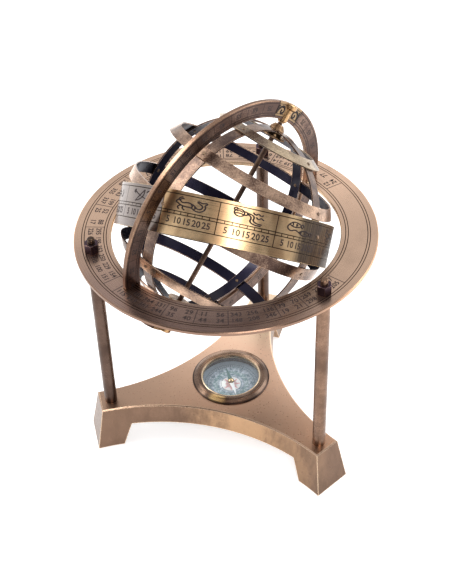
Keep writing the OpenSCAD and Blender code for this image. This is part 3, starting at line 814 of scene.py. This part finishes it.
class ARM_OT_narrow_bands(bpy.types.Operator):
    """Finish the colures, the parallels, the rod, hubs, collars and rivets"""

    bl_idname = "armillary.narrow_bands"
    bl_label = "Narrow bands and rod"

    def execute(self, context):
        look = context.scene.arm_bands
        bright, dark = look.band_colour, look.patina_colour
        dress(brass("strip_patina", shade(bright, 1.35), dark, 0.62, blotch=45, grain=1300,
                    rough=0.22, spread=0.16, edge=(0.72, 0.48, 0.32), edge_width=0.0005,
                    bump=0.1, inner=60.75, lacquer=0.1, low_shade=0.8),
              "equator_band", "north_tropic_band", "south_tropic_band", "south_polar_circle")
        dress(brass("polar_patina", (0.84, 0.66, 0.43), dark, 0.58, blotch=26, grain=1300,
                    rough=0.26, spread=0.12, edge=(0.85, 0.66, 0.45), edge_width=0.0005,
                    bump=0.1, inner=60.75, lacquer=0.2),
              "north_polar_circle")
        dress(brass("colure_patina", shade(bright, 0.8), dark, 0.52, blotch=50, grain=1300,
                    rough=0.24, spread=0.14, edge=(0.6, 0.4, 0.27), edge_width=0.0005,
                    bump=0.1, inner=59.6, lacquer=0.3, low_shade=0.85),
              "equinoctial_colure", "solstitial_colure")
        dress(brass("turned_patina", (0.55, 0.35, 0.19), (0.16, 0.09, 0.05), 0.66, blotch=160,
                    grain=1500, rough=0.24, spread=0.14, edge=(0.75, 0.52, 0.34)),
              "north_hub", "south_hub", "north_collar", "south_collar")
        dress(brass("rod_patina", (0.26, 0.17, 0.12), (0.1, 0.06, 0.045), 0.6, blotch=160,
                    grain=1500, rough=0.26, spread=0.12), "axis_rod")
        dress(brass("rivet_brass", (0.34, 0.23, 0.15), (0.12, 0.08, 0.055), 0.55, blotch=260,
                    grain=1500, rough=0.25, spread=0.12), "band_rivets")
        return {"FINISHED"}


# Strokes of the curl and the twelve figures, each point's x and y in tenths of a millimetre
FIGURES = {
    "curl": (
        "-23,-14 -14,6 2,15 17,8 18,-6 8,-12 0,-5 5,2", "-23,-14 -25,6 -18,19"),
    "goat_fish": (
        "-49,3 -43,13 -35,12 -27,4 -6,7 15,-1 28,-13 39,-10 42,3 33,10",
        "-49,3 -41,-1 -32,-7 -14,-12 6,-13 22,-23 40,-22 52,-6 50,8", "-41,13 -36,24 -26,28",
        "-37,12 -29,20 -21,21", "-30,-8 -40,-17 -34,-27", "-22,-10 -23,-21 -14,-28",
        "33,10 25,19 36,17", "50,8 56,18 44,16 36,17", "4,1 10,-6 6,-10", "16,-5 20,-11 17,-16"),
    "water_jar": (
        "-46,22 -32,27 -19,18 -18,5 -28,-4 -42,-2 -50,9 -46,22", "-19,18 -11,19 -7,12 -11,5 -18,5",
        "-39,26 -46,31 -52,24 -47,19", "-8,15 8,12 16,2 14,-10 26,-20 46,-22",
        "-9,11 2,6 6,-4 4,-16 16,-27 42,-29", "10,24 19,16 28,22 37,15 46,21",
        "22,6 31,-1 40,5 49,-2", "-44,16 -32,19 -22,14", "-47,7 -34,9 -20,6"),
    "two_fishes": (
        "-50,12 -36,23 -16,22 -2,12 -17,4 -36,4 -50,12", "-2,12 7,20 6,5 -2,12",
        "-39,20 -35,13 -39,6", "-7,-17 8,-8 28,-8 42,-16 29,-26 8,-26 -7,-17",
        "42,-16 52,-9 51,-24 42,-16", "6,-10 2,-17 6,-24", "-50,12 -56,-4 -42,-16 -24,-10 -7,-17",
        "-24,17 -17,13 -24,9", "18,-12 25,-17 18,-22"),
    "ram": (
        "-44,8 -36,16 -22,10 4,13 30,10 42,2 39,-10",
        "-44,8 -46,0 -36,-2 -28,-8 2,-10 30,-7 39,-10", "-34,16 -26,26 -38,30 -44,22 -37,18",
        "-24,-8 -29,-29", "-16,-9 -17,-29", "24,-8 21,-29", "34,-9 36,-29",
        "-14,7 -7,2 0,7 7,2 14,7", "-6,-2 2,-6 10,-1 18,-5"),
    "bull": (
        "-46,6 -38,14 -24,12 -10,20 10,13 36,13 44,2 40,-10",
        "-46,6 -44,-4 -32,-3 -26,-10 6,-11 40,-10", "-38,14 -49,20 -45,29", "-30,13 -25,21 -32,28",
        "-22,-10 -32,-20 -26,-29", "-12,-11 -11,-29", "28,-10 26,-29", "38,-10 41,-29",
        "44,2 52,14 48,24"),
    "twins": (
        "-26,29 -33,23 -26,17 -19,23 -26,29", "-26,17 -26,-6", "-41,9 -26,13 -6,9",
        "-26,-6 -35,-29", "-26,-6 -17,-29", "26,29 19,23 26,17 33,23 26,29", "26,17 26,-6",
        "6,9 26,13 41,9", "26,-6 17,-29", "26,-6 35,-29"),
    "crab": (
        "-22,0 -12,12 12,12 22,0 12,-12 -12,-12 -22,0", "-18,8 -34,19 -30,29 -22,23",
        "18,8 34,19 30,29 22,23", "-22,1 -38,6 -46,-2", "22,1 38,6 46,-2", "-20,-6 -34,-10 -40,-20",
        "20,-6 34,-10 40,-20", "-12,-12 -20,-22 -22,-29", "12,-12 20,-22 22,-29"),
    "lion": (
        "-48,6 -42,18 -30,22 -20,13 8,9 34,9 41,0 38,-10",
        "-48,6 -43,-3 -32,-4 -24,-10 8,-7 38,-10", "-30,22 -22,6 -24,-10",
        "-23,-10 -30,-29 -38,-29", "-13,-10 -16,-29", "26,-9 22,-29", "37,-10 39,-29",
        "41,0 52,6 49,22 55,29"),
    "ear_of_wheat": (
        "-48,-26 -16,-12 16,4 48,24", "2,-2 2,12 16,4", "16,4 18,19 32,14", "4,-2 20,-8 22,7",
        "20,7 36,2 38,17", "32,14 36,28 48,24", "-24,-16 -32,2 -22,14 -16,-2 -24,-16"),
    "scales": (
        "-42,17 0,23 42,17", "0,29 0,-26", "-14,-28 14,-28", "-42,17 -52,-4", "-42,17 -32,-4",
        "-54,-4 -42,-13 -30,-4 -54,-4", "42,17 32,-4", "42,17 52,-4", "30,-4 42,-13 54,-4 30,-4"),
    "scorpion": (
        "-34,2 -22,10 -8,6 6,9 18,2 26,-10 38,-16 48,-7 47,8 39,15",
        "-34,2 -22,-6 -8,-3 6,-6 16,-2", "-32,5 -42,16 -36,26 -28,20",
        "-32,-1 -46,-10 -46,-21 -37,-19", "-16,8 -14,20", "-4,7 -1,19", "-16,-5 -16,-18",
        "-4,-4 -2,-18"),
    "bow_and_arrow": (
        "-36,-26 -12,-16 4,2 8,28", "-36,-26 8,28", "-48,22 -14,1 44,-20", "44,-20 32,-23",
        "44,-20 38,-10", "-48,22 -49,12", "-48,22 -39,25", "-42,18 -43,8",
        "18,16 28,24 38,16 48,24"),
}
PANELS = tuple(name for name in FIGURES if name != "curl")


def stroke_mesh(stroke, half):
    """A smooth flat stroke through the points that it lists."""
    points = [[int(part) / 10 for part in point.split(",")] for point in stroke.split()]
    start_clean()
    bpy.ops.curve.primitive_bezier_curve_add(location=(0, 0, 0))
    data = bpy.context.object.data
    bezier = data.splines[0].bezier_points
    if len(points) > len(bezier):
        bezier.add(len(points) - len(bezier))
    for point, (x, y) in zip(bezier, points):
        point.co = (x * MM, y * MM, 0)
        point.handle_left_type = point.handle_right_type = "AUTO"
    data.bevel_depth = half
    data.bevel_resolution = 0
    data.resolution_u = 3
    data.use_fill_caps = True
    bpy.ops.object.convert(target="MESH")
    obj = bpy.context.object
    obj.data.transform(Matrix.Diagonal((1, 1, 0.16, 1)))
    return obj


def figure_mesh(name, half):
    """A line figure of round strokes, centred on the origin and facing +Z."""
    parts = [stroke_mesh(stroke, half) for stroke in FIGURES[name]]
    start_clean()
    for part in parts:
        part.select_set(True)
    bpy.context.view_layer.objects.active = parts[0]
    bpy.ops.object.join()
    return bpy.context.object


class ARM_OT_zodiac_band(bpy.types.Operator):
    """Finish the zodiac band and cut its figures, degree chain and numbers"""

    bl_idname = "armillary.zodiac_band"
    bl_label = "Zodiac band"

    def execute(self, context):
        look = context.scene.arm_bands
        bright, inner = look.zodiac_colour, look.inner_colour
        coat = Coat("zodiac_brass", sockets={"Coat Weight": 0.12, "Coat Roughness": 0.15})
        radius, turn, height, grain = coat.turned(ZODIAC)
        skin = rubbed_patina(coat.place, 38, 1200, 0.8)
        outside = above(radius, 62)
        # Painted sheen: soft bright bands round the band, brown between them and around turn 31,
        # where the front light's highlight falls
        sheen_gap = ramp(away(turn, 31), 3.0, 9.0, 0.55, 0.0)
        glow = times(soft_bands(turn, height, 0.075), less(1.0, sheen_gap))
        tone = times(skin["Bright"], ramp(grain, 0.3, 0.7, 0.85, 1.0))
        coat.colour = blend(tone, shade(bright, 0.5), blend(glow, (0.46, 0.28, 0.15), bright))

        # Painted dark reflection, streaked in soft bands, on one part of the band and grey metal on
        # another
        dark_reflection = times(ramp(turn, 66, 79), ramp(turn, 150, 170, 1.0, 0.0))
        reflection_streaks = soft_bands(turn, 0.0, 1.6)
        dark_reflection = times(dark_reflection, ramp(reflection_streaks, 0.0, 1.0, 0.8, 0.99, smooth=False))
        coat.lay(dark_reflection, (0.03, 0.022, 0.02))
        coat.lay(times(ramp(turn, 285, 315), 0.9), (0.22, 0.2, 0.2))

        inside = blend(skin["Bright"], inner, shade(inner, 1.8))
        coat.colour = blend(outside, inside, coat.colour)
        coat.lay(worn_edges(coat.place, 0.0006, 160), (0.92, 0.68, 0.38))
        top_line, chain_top, chain_low, low_line = ZODIAC_LINES
        cuts = [cut_line(height, at, 0.25) for at in ZODIAC_LINES]
        cuts += [scale_marks(turn, radius, height, 3.75, chain_low, chain_top, 0.24),
                 scale_marks(turn, radius, height, 30, low_line, top_line, 0.26)]
        wax = context.scene.arm_rings.engraving_colour
        coat.lay(times(largest(*cuts), outside), wax)
        roughness = plus(ramp(grain, 0.2, 0.8, 0.24, 0.38), times(dark_reflection, 0.3))
        relief = plus(grain, times(skin["Grain"], 0.4))
        dress(coat.done(roughness, relief, 0.12), "zodiac_band")
        self.cut_marks(look)
        return {"FINISHED"}

    def cut_marks(self, look):
        """One figure and a row of degrees in each panel of thirty degrees."""
        figures, numbers = [], []
        radius = ZODIAC_R * MM
        for i, name in enumerate(PANELS):
            middle = 30 * i - 165
            figure = bend(figure_mesh(name, look.figure_stroke), radius, (1.7, 1.22))
            figures.append((figure, on_hoop(ZODIAC, ZODIAC_R, middle, FIGURE_ROW)))
            for number in (5, 10, 15, 20, 25):
                label = bend(label_mesh(str(number), look.zodiac_number_height), radius)
                angle = middle - 15.3 + number * 1.02
                numbers.append((label, on_hoop(ZODIAC, ZODIAC_R, angle, ZODIAC_ROW)))
        wax = engraving_material()
        lay_out("zodiac_figures", figures, "sphere", wax)
        lay_out("zodiac_numbers", numbers, "sphere", wax)


class ARM_OT_compass(bpy.types.Operator):
    """Finish the compass and print its dial"""

    bl_idname = "armillary.compass"
    bl_label = "Compass"

    def execute(self, context):
        look = context.scene.arm_compass
        self.bezel()
        dress(brass("case_patina", (0.3, 0.2, 0.12), (0.08, 0.05, 0.04)), "compass_case")
        dress(brass("pivot_brass", (0.7, 0.5, 0.26), (0.3, 0.2, 0.1), 0.8), "compass_pivot")
        dress(brass("needle_cap_brass", (0.85, 0.62, 0.32), (0.4, 0.26, 0.12), 0.85,
                    blotch=600, rough=0.2), "needle_cap")
        self.glass()
        self.dial(look)
        self.needle()
        self.print_marks(look)
        return {"FINISHED"}

    def bezel(self):
        """Turned brass with painted sheen, painted light towards the rear, a painted highlight on the
        inner lip, a painted golden glint and a painted shadow on the outer edge.
        """
        coat = Coat("bezel_patina")
        radius, turn, _, grain = coat.turned()
        skin = rubbed_patina(coat.place, 60, 1500, 0.8)
        # Painted sheen in soft bands round the bezel
        glow = soft_bands(turn, radius, 0.03)
        bright = blend(glow, (0.13, 0.084, 0.062), (0.24, 0.16, 0.115))
        # Painted light: brighter towards the rear
        rear = ramp(split(coat.place)["Y"], 0.004, 0.021)
        bright = blend(rear, bright, (0.52, 0.37, 0.27))
        coat.colour = blend(skin["Bright"], (0.1, 0.065, 0.05), bright)
        # Painted golden glint at the lower left
        glint = ramp(away(turn, 66), 5.0, 17, 0.85, 0.0)
        coat.lay(times(glint, ramp(radius, 19.4, 20.8)), (0.86, 0.6, 0.27))
        # Painted highlight on the inner lip, weaker towards the rear
        lip = ramp(radius, 19.4, 18.9, 0.0, 0.8)
        coat.lay(times(lip, ramp(rear, 0.0, 1.0, 1.0, 0.3)), (0.9, 0.72, 0.5))
        # Painted shadow round the outer edge
        coat.lay(ramp(radius, 23.7, 24.5, 0.0, 0.9), (0.03, 0.02, 0.018))
        dress(coat.done(ramp(grain, 0.2, 0.8, 0.2, 0.32), grain), "compass_bezel")

    def glass(self):
        """Clear glass that lets light through to the dial."""
        coat = Coat("compass_glass_clear", 0.0, {"IOR": 1.5, "Transmission Weight": 1.0})
        coat.colour = (0.93, 0.96, 0.98)
        smear = noise(coat.place, 260, 4.0, 0.6)
        dress(coat.done(ramp(smear, 0.35, 0.75, 0.0, 0.06)), "compass_glass")
        mix = add_node(coat.tree, "ShaderNodeMixShader", {
            0: add_node(coat.tree, "ShaderNodeLightPath")["Is Shadow Ray"],
            1: coat.tree.nodes["Principled BSDF"].outputs[0],
            2: add_node(coat.tree, "ShaderNodeBsdfTransparent")[0]})
        put(coat.tree.nodes["Material Output"].inputs["Surface"], mix[0])

    def dial(self, look):
        """A printed card with a mottled ring, a rose in its middle and a degree scale."""
        coat = Coat("dial_print", 0.0)
        radius, turn, _ = round_places(coat.place)
        paper = noise(coat.place, 500)
        coat.colour = blend(ramp(paper, 0.3, 0.7), shade(look.dial_colour, 0.86), look.dial_colour)
        coat.lay(ramp(away(radius, 10.2), 1.2, 1.7, 0.55, 0.0), (0.12, 0.24, 0.22))
        specks = noise(coat.place, 620, 2.0, 0.7)
        printed = times(ramp(radius, 6.6, 7.0), ramp(radius, 15.3, 15))
        coat.lay(times(printed, ramp(specks, 0.5, 0.62, 0.0, 0.6)), (0.7, 0.76, 0.84))
        coat.lay(times(printed, ramp(specks, 0.46, 0.34, 0.0, 0.7)), (0.06, 0.16, 0.18))
        coat.lay(ramp(radius, 6.3, 6.7, 1.0, 0.0), (0.8, 0.8, 0.8))
        share = calc("DIVIDE", turn, 360 / look.rose_points)
        reach = times(less(0.5, away(share, calc("ROUND", share))), 12.4)
        coat.lay(ramp(less(reach, radius), -0.1, 0.15), look.rose_colour)
        coat.lay(ramp(radius, 3.5, 3.8, 0.75, 0.0), (0.62, 0.36, 0.36))
        field = times(ramp(away(turn, 180), 150, 156), cut_line(radius, 5.4, 1.9))
        coat.lay(field, (0.96, 0.97, 0.96))
        cuts = [cut_line(radius, at, 0.12) for at in DIAL_LINES]
        cuts += [scale_marks(turn, radius, radius, 5.0, 15.6, 17.4, 0.12),
                 scale_marks(turn, radius, radius, 30, 14.6, 17.4, 0.2)]
        coat.lay(largest(*cuts), look.print_colour)
        dress(coat.done(ramp(paper, 0.2, 0.8, 0.35, 0.5)), "compass_dial")

    def needle(self):
        """White paint on one half and dark green on the other."""
        coat = Coat("needle_paint", 0.0)
        along = split(coat.place_in(NEEDLE))["X"]
        wear = noise(coat.place, 1500)
        half = ramp(plus(along, times(wear, 0.0004)), -0.0002, 0.0004)
        coat.colour = blend(half, (0.07, 0.15, 0.14), (0.9, 0.91, 0.92))
        dress(coat.done(ramp(wear, 0.2, 0.8, 0.3, 0.45)), "compass_needle")

    def print_marks(self, look):
        """Degree numbers round the dial."""
        marks = []
        for step in range(0, 360, 30):
            place = on_disc(LEVEL, DIAL_ROW, 90 - step, DIAL_TOP / MM)
            marks.append((label_mesh(str(step), 1.7 * MM), place))
        ink = look.print_colour
        coat = Coat("dial_numbers", 0.0)
        coat.colour = blend(noise(coat.place, 1200, 2.0), ink, shade(ink, 1.8))
        lay_out("dial_numbers", marks, "stand", coat.done(0.5))


class ARM_OT_studio(bpy.types.Operator):
    """Set the pale floor, the soft lights, the room and the camera"""

    bl_idname = "armillary.studio"
    bl_label = "Studio"

    def execute(self, context):
        look = context.scene.arm_stage
        self.floor()
        self.room()
        for name, place, size, colour in LIGHTS:
            self.light(name, getattr(look, name + "_power"), place, size, colour)
        self.camera(look)
        context.scene.view_settings.view_transform = "Standard"
        return {"FINISHED"}

    def floor(self):
        """A floor that is seen as white and doesn't light the part."""
        start_clean()
        bpy.ops.mesh.primitive_plane_add(size=8, location=(0, 0, -0.2 * MM))
        obj = bpy.context.object
        obj.name = "studio_floor"
        coat = Coat("studio_white", 0.0)
        coat.colour = blend(noise(coat.place, 3.0, 2.0), (0.86, 0.86, 0.86), (0.88, 0.88, 0.88))
        path = add_node(coat.tree, "ShaderNodeLightPath")
        seen = largest(path["Is Camera Ray"], path["Is Glossy Ray"], path["Is Transmission Ray"])
        coat.set({"Emission Color": (1, 1, 1), "Emission Strength": times(seen, 0.62)})
        obj.data.materials.append(coat.done(0.9))

    def room(self):
        """White seen directly; a pale room with a darker side behind the camera in reflections."""
        world = bpy.data.worlds.new("studio_room")
        world.use_nodes = True
        bpy.context.scene.world = world
        tree = world.node_tree
        x, y, z = split(add_node(tree, "ShaderNodeTexCoord")["Generated"])
        depth = ramp(y, -0.75, 0.35, 0.1, 0.95)
        overhead = ramp(z, 0.75, 1.0, 0.0, 0.35)
        left = times(ramp(x, -0.95, -0.5, 1.0, 0.0), ramp(z, -0.1, 0.25, 0.35, 1.0))
        glow = largest(plus(depth, overhead), left)
        tone = blend(glow, (0.085, 0.08, 0.1), (0.98, 0.98, 1.0))
        seen = add_node(tree, "ShaderNodeLightPath")["Is Camera Ray"]
        ground = tree.nodes["Background"].inputs
        put(ground["Color"], blend(seen, tone, (1.0, 1.0, 1.0)))
        put(ground["Strength"], 1.0)

    def light(self, name, power, place, size, colour):
        """A square light that faces the part."""
        start_clean()
        bpy.ops.object.light_add(type="AREA", location=place)
        obj = bpy.context.object
        obj.name = "studio_" + name
        obj.data.energy = power
        obj.data.size = size
        obj.data.color = colour
        aim = Vector((0, 0, 0.12)) - Vector(place)
        obj.rotation_euler = aim.to_track_quat("-Z", "Y").to_euler()

    def camera(self, look):
        """The camera that stands where the photograph was taken."""
        start_clean()
        bpy.ops.object.camera_add(location=CAMERA_PLACE)
        obj = bpy.context.object
        aim = turn_by(-CAMERA_YAW, "Z") @ turn_by(90 - CAMERA_PITCH, "X")
        obj.rotation_euler = (aim @ turn_by(CAMERA_ROLL, "Z")).to_euler()
        obj.data.lens = look.focal
        obj.data.sensor_width = 36
        obj.data.shift_x = (IMAGE_WIDTH / 2 - MIDDLE_X) / IMAGE_HEIGHT
        obj.data.shift_y = (MIDDLE_Y - IMAGE_HEIGHT / 2) / IMAGE_HEIGHT
        bpy.context.scene.camera = obj


class ARM_PT_sidebar(bpy.types.Panel):
    """Lists the pieces and their settings"""

    bl_idname = "ARM_PT_sidebar"
    bl_label = "Armillary sphere"
    bl_space_type = "VIEW_3D"
    bl_region_type = "UI"
    bl_category = "Armillary"

    def draw(self, context):
        for operator in PIECES:
            self.layout.operator(operator.bl_idname)
        for group, _ in SETTINGS:
            values = getattr(context.scene, group)
            for key in values.__annotations__:
                self.layout.prop(values, key)


SETTINGS = (
    ("arm_rings", RingSettings), ("arm_bands", BandSettings), ("arm_stand", StandSettings),
    ("arm_compass", CompassSettings), ("arm_stage", StageSettings),
)
PIECES = (
    ARM_OT_base, ARM_OT_posts, ARM_OT_horizon_ring, ARM_OT_meridian_ring, ARM_OT_narrow_bands,
    ARM_OT_zodiac_band, ARM_OT_compass, ARM_OT_studio,
)


def register():
    for key, settings in SETTINGS:
        bpy.utils.register_class(settings)
        setattr(bpy.types.Scene, key, PointerProperty(type=settings))
    for cls in (*PIECES, ARM_PT_sidebar):
        bpy.utils.register_class(cls)


def unregister():
    for cls in reversed((*PIECES, ARM_PT_sidebar)):
        bpy.utils.unregister_class(cls)
    for key, settings in reversed(SETTINGS):
        delattr(bpy.types.Scene, key)
        bpy.utils.unregister_class(settings)


def main():
    register()
    bpy.ops.armillary.base()
    bpy.ops.armillary.posts()
    bpy.ops.armillary.horizon_ring()
    bpy.ops.armillary.meridian_ring()
    bpy.ops.armillary.narrow_bands()
    bpy.ops.armillary.zodiac_band()
    bpy.ops.armillary.compass()
    bpy.ops.armillary.studio()


if __name__ == "__main__":
    main()
